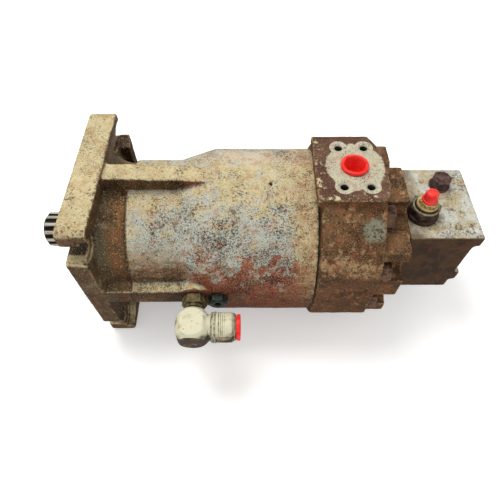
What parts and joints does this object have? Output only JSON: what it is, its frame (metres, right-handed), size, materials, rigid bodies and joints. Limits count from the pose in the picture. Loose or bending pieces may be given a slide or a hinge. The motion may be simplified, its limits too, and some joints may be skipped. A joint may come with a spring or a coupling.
{
  "type": "axial piston pump",
  "caption": "Heavy-duty in-line axial piston hydraulic unit: flanged cast housing, splined shaft, end cap with split-flange ports, valve block and drain elbow.",
  "frame": {"origin": "where the shaft axis crosses the mounting face of the flange", "axes": "+X along the shaft from the flange towards the valve block, +Z out of the top port pad, -Y towards the case drain elbow"},
  "size_m": [0.519, 0.254, 0.2277],
  "materials": {
    "weathered_housing": "weathered",
    "weathered_cap": "weathered",
    "weathered_block": "weathered",
    "machined_steel": "machined",
    "bearing_steel": "ground",
    "inner_steel": "machined",
    "dark_steel": "rusted",
    "zinc_plated": "dull zinc plate",
    "bronze": "machined",
    "seal_rubber": "matte",
    "red_plastic": "glossy",
    "gasket": "matte"
  },
  "bodies": {
    "casing": {"housing": "weathered_housing", "end_cap": "weathered_cap", "valve_block": "weathered_block", "shaft_seal": "seal_rubber", "end_cap_gasket": "gasket", "front_bearing_outer": "bearing_steel", "rear_bearing_outer": "bearing_steel", "bearing_snap_ring": "dark_steel", "swashplate": "inner_steel", "valve_plate": "bronze", "relief_cartridge": "dark_steel", "gauge_fitting": "zinc_plated", "relief_spring": "inner_steel", "shuttle_plug": "dark_steel", "drain_adapter": "dark_steel", "drain_elbow": "zinc_plated", "case_port_plug": "dark_steel", "end_cap_bolt_1": "dark_steel", "end_cap_bolt_2": "dark_steel", "end_cap_bolt_3": "dark_steel", "end_cap_bolt_4": "dark_steel", "end_cap_bolt_5": "dark_steel", "end_cap_bolt_6": "dark_steel", "end_cap_bolt_7": "dark_steel", "end_cap_bolt_8": "dark_steel", "valve_block_screw_1": "dark_steel", "valve_block_screw_2": "dark_steel", "valve_block_screw_3": "dark_steel", "valve_block_screw_4": "dark_steel"},
    "rotor": {"drive_shaft": "machined_steel", "front_bearing_inner": "bearing_steel", "cylinder_block": "inner_steel", "block_spring": "inner_steel", "ball_guide": "inner_steel"},
    "retainer": {"slipper_retainer": "inner_steel"},
    "front_rollers": {"front_bearing_rollers": "bearing_steel"},
    "rear_rollers": {"rear_bearing_rollers": "bearing_steel"},
    "shuttle": {"shuttle_spool": "inner_steel"},
    "poppet": {"relief_poppet": "inner_steel"},
    "port_plug_body": {"port_plug": "red_plastic"},
    "elbow_plug_body": {"elbow_plug": "red_plastic"},
    "gauge_cap_body": {"gauge_cap": "red_plastic"},
    "slipper_body_1": {"slipper_1": "bronze"},
    "piston_body_1": {"piston_1": "inner_steel"},
    "slipper_body_2": {"slipper_2": "bronze"},
    "piston_body_2": {"piston_2": "inner_steel"},
    "slipper_body_3": {"slipper_3": "bronze"},
    "piston_body_3": {"piston_3": "inner_steel"},
    "slipper_body_4": {"slipper_4": "bronze"},
    "piston_body_4": {"piston_4": "inner_steel"},
    "slipper_body_5": {"slipper_5": "bronze"},
    "piston_body_5": {"piston_5": "inner_steel"},
    "slipper_body_6": {"slipper_6": "bronze"},
    "piston_body_6": {"piston_6": "inner_steel"},
    "slipper_body_7": {"slipper_7": "bronze"},
    "piston_body_7": {"piston_7": "inner_steel"},
    "slipper_body_8": {"slipper_8": "bronze"},
    "piston_body_8": {"piston_8": "inner_steel"},
    "slipper_body_9": {"slipper_9": "bronze"},
    "piston_body_9": {"piston_9": "inner_steel"}
  },
  "joints": [
    {"name": "shaft_spin", "type": "hinge", "parent": "casing", "child": "rotor", "pos_m": [0, 0, 0], "axis": [1, 0, 0], "continuous": true},
    {"name": "retainer_spin", "type": "hinge", "parent": "casing", "child": "retainer", "pos_m": [0.105, 0, 0], "axis": [0.9659, 0.2588, 0], "continuous": true},
    {"name": "front_rollers_spin", "type": "hinge", "parent": "casing", "child": "front_rollers", "pos_m": [0.0185, 0, 0], "axis": [1, 0, 0], "continuous": true},
    {"name": "rear_rollers_spin", "type": "hinge", "parent": "casing", "child": "rear_rollers", "pos_m": [0.271, 0, 0], "axis": [1, 0, 0], "continuous": true},
    {"name": "shuttle_slide", "type": "slide", "parent": "casing", "child": "shuttle", "axis": [0, 0, 1], "range_m": [-0.0055, 0.0055]},
    {"name": "relief_lift", "type": "slide", "parent": "casing", "child": "poppet", "axis": [0, 0, 1], "range_m": [0, 0.0018], "stiffness_N_per_m": 20000, "springref_m": -0.001, "deforming": ["relief_spring"]},
    {"name": "port_plug_pull", "type": "slide", "parent": "casing", "child": "port_plug_body", "axis": [0, 0, 1], "range_m": [0, 0.04]},
    {"name": "elbow_plug_pull", "type": "slide", "parent": "casing", "child": "elbow_plug_body", "axis": [1, 0, 0], "range_m": [0, 0.03]},
    {"name": "gauge_cap_pull", "type": "slide", "parent": "casing", "child": "gauge_cap_body", "axis": [0, 0, 1], "range_m": [0, 0.025]},
    {"name": "slipper_1_turn", "type": "hinge", "parent": "retainer", "child": "slipper_body_1", "pos_m": [0.09289, 0.0452, 0], "axis": [0.9659, 0.2588, 0], "continuous": true},
    {"name": "piston_1_turn", "type": "hinge", "parent": "slipper_body_1", "child": "piston_body_1", "pos_m": [0.09289, 0.0452, 0], "axis": [1, 0, 0], "continuous": true},
    {"name": "slipper_2_turn", "type": "hinge", "parent": "retainer", "child": "slipper_body_2", "pos_m": [0.09572, 0.03463, 0.03008], "axis": [0.9659, 0.2588, 0], "continuous": true},
    {"name": "piston_2_turn", "type": "hinge", "parent": "slipper_body_2", "child": "piston_body_2", "pos_m": [0.09572, 0.03463, 0.03008], "axis": [1, 0, 0], "continuous": true},
    {"name": "slipper_3_turn", "type": "hinge", "parent": "retainer", "child": "slipper_body_3", "pos_m": [0.1029, 0.00785, 0.04609], "axis": [0.9659, 0.2588, 0], "continuous": true},
    {"name": "piston_3_turn", "type": "hinge", "parent": "slipper_body_3", "child": "piston_body_3", "pos_m": [0.1029, 0.00785, 0.04609], "axis": [1, 0, 0], "continuous": true},
    {"name": "slipper_4_turn", "type": "hinge", "parent": "retainer", "child": "slipper_body_4", "pos_m": [0.11106, -0.0226, 0.04053], "axis": [0.9659, 0.2588, 0], "continuous": true},
    {"name": "piston_4_turn", "type": "hinge", "parent": "slipper_body_4", "child": "piston_body_4", "pos_m": [0.11106, -0.0226, 0.04053], "axis": [1, 0, 0], "continuous": true},
    {"name": "slipper_5_turn", "type": "hinge", "parent": "retainer", "child": "slipper_body_5", "pos_m": [0.11638, -0.04248, 0.01601], "axis": [0.9659, 0.2588, 0], "continuous": true},
    {"name": "piston_5_turn", "type": "hinge", "parent": "slipper_body_5", "child": "piston_body_5", "pos_m": [0.11638, -0.04248, 0.01601], "axis": [1, 0, 0], "continuous": true},
    {"name": "slipper_6_turn", "type": "hinge", "parent": "retainer", "child": "slipper_body_6", "pos_m": [0.11638, -0.04248, -0.01601], "axis": [0.9659, 0.2588, 0], "continuous": true},
    {"name": "piston_6_turn", "type": "hinge", "parent": "slipper_body_6", "child": "piston_body_6", "pos_m": [0.11638, -0.04248, -0.01601], "axis": [1, 0, 0], "continuous": true},
    {"name": "slipper_7_turn", "type": "hinge", "parent": "retainer", "child": "slipper_body_7", "pos_m": [0.11106, -0.0226, -0.04053], "axis": [0.9659, 0.2588, 0], "continuous": true},
    {"name": "piston_7_turn", "type": "hinge", "parent": "slipper_body_7", "child": "piston_body_7", "pos_m": [0.11106, -0.0226, -0.04053], "axis": [1, 0, 0], "continuous": true},
    {"name": "slipper_8_turn", "type": "hinge", "parent": "retainer", "child": "slipper_body_8", "pos_m": [0.1029, 0.00785, -0.04609], "axis": [0.9659, 0.2588, 0], "continuous": true},
    {"name": "piston_8_turn", "type": "hinge", "parent": "slipper_body_8", "child": "piston_body_8", "pos_m": [0.1029, 0.00785, -0.04609], "axis": [1, 0, 0], "continuous": true},
    {"name": "slipper_9_turn", "type": "hinge", "parent": "retainer", "child": "slipper_body_9", "pos_m": [0.09572, 0.03463, -0.03008], "axis": [0.9659, 0.2588, 0], "continuous": true},
    {"name": "piston_9_turn", "type": "hinge", "parent": "slipper_body_9", "child": "piston_body_9", "pos_m": [0.09572, 0.03463, -0.03008], "axis": [1, 0, 0], "continuous": true}
  ],
  "couplings": [
    {"joint": "retainer_spin", "follows": "shaft_spin", "ratio": 1},
    {"joint": "front_rollers_spin", "follows": "shaft_spin", "ratio": 0.46154},
    {"joint": "rear_rollers_spin", "follows": "shaft_spin", "ratio": 0.43243},
    {"joint": "slipper_1_turn", "follows": "shaft_spin", "ratio": -1},
    {"joint": "piston_1_turn", "follows": "shaft_spin", "ratio": 1},
    {"joint": "slipper_2_turn", "follows": "shaft_spin", "ratio": -1},
    {"joint": "piston_2_turn", "follows": "shaft_spin", "ratio": 1},
    {"joint": "slipper_3_turn", "follows": "shaft_spin", "ratio": -1},
    {"joint": "piston_3_turn", "follows": "shaft_spin", "ratio": 1},
    {"joint": "slipper_4_turn", "follows": "shaft_spin", "ratio": -1},
    {"joint": "piston_4_turn", "follows": "shaft_spin", "ratio": 1},
    {"joint": "slipper_5_turn", "follows": "shaft_spin", "ratio": -1},
    {"joint": "piston_5_turn", "follows": "shaft_spin", "ratio": 1},
    {"joint": "slipper_6_turn", "follows": "shaft_spin", "ratio": -1},
    {"joint": "piston_6_turn", "follows": "shaft_spin", "ratio": 1},
    {"joint": "slipper_7_turn", "follows": "shaft_spin", "ratio": -1},
    {"joint": "piston_7_turn", "follows": "shaft_spin", "ratio": 1},
    {"joint": "slipper_8_turn", "follows": "shaft_spin", "ratio": -1},
    {"joint": "piston_8_turn", "follows": "shaft_spin", "ratio": 1},
    {"joint": "slipper_9_turn", "follows": "shaft_spin", "ratio": -1},
    {"joint": "piston_9_turn", "follows": "shaft_spin", "ratio": 1}
  ]
}
